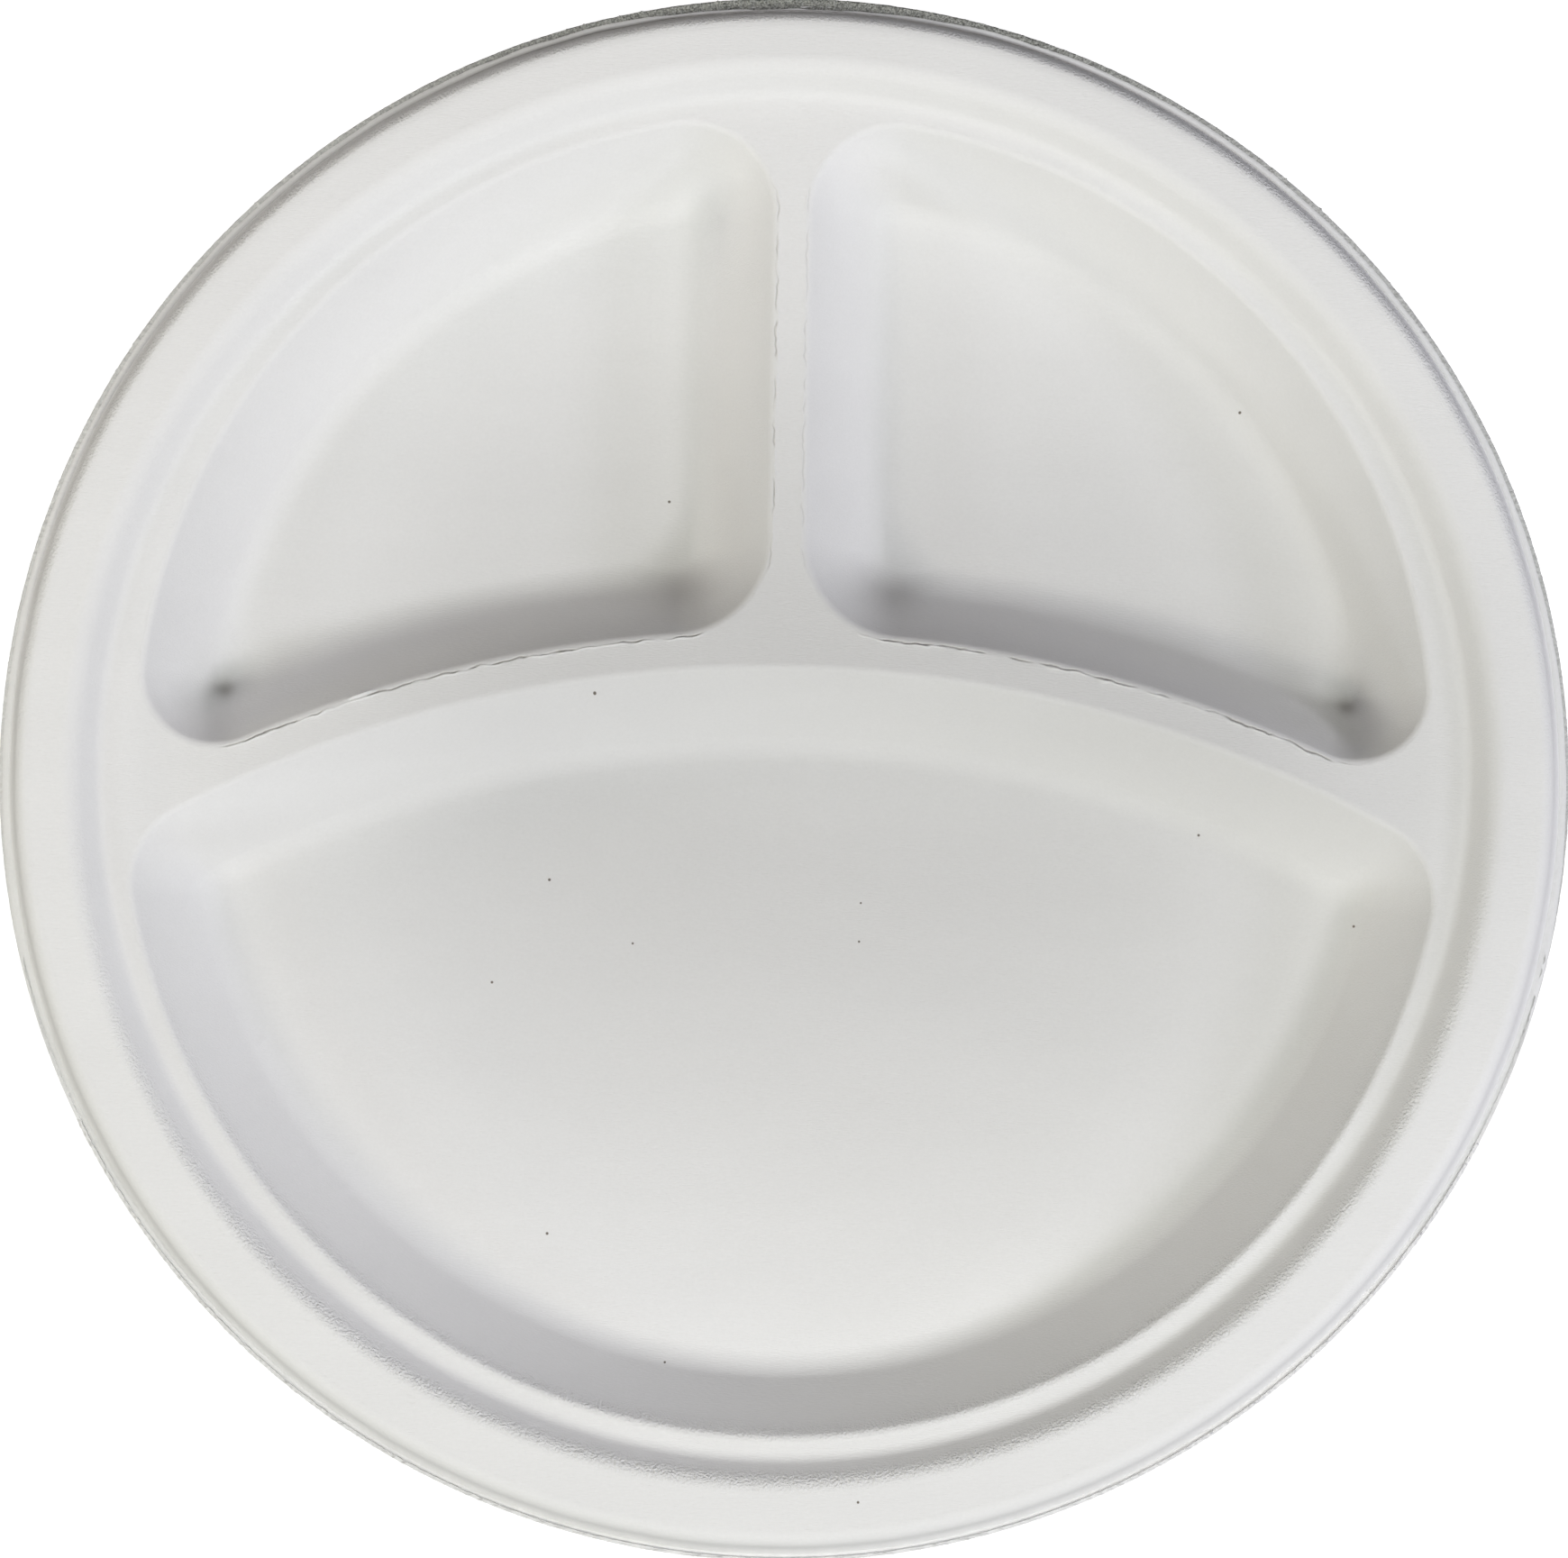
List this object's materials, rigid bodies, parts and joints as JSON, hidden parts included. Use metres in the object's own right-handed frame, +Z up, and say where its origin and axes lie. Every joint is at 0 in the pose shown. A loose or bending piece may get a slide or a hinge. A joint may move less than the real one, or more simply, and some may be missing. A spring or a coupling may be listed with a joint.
{
  "type": "compartment plate",
  "caption": "Round shallow divided plate pressed from white pulp, with a raised rim, a trimmed lip and hollow dividers between a large well and smaller ones.",
  "frame": {"origin": "centre of the plane the underside rests on, straight below the centre of the lip circle", "axes": "+Z up out of the wells, -Y towards the large well, +Y towards the two small wells, X across the plate's mirror plane"},
  "size_m": [0.26, 0.26, 0.0232],
  "materials": {
    "pulp": "matte pressed sugar-cane fibre, bleached white"
  },
  "bodies": {
    "root": {"plate": "pulp"}
  },
  "joints": []
}
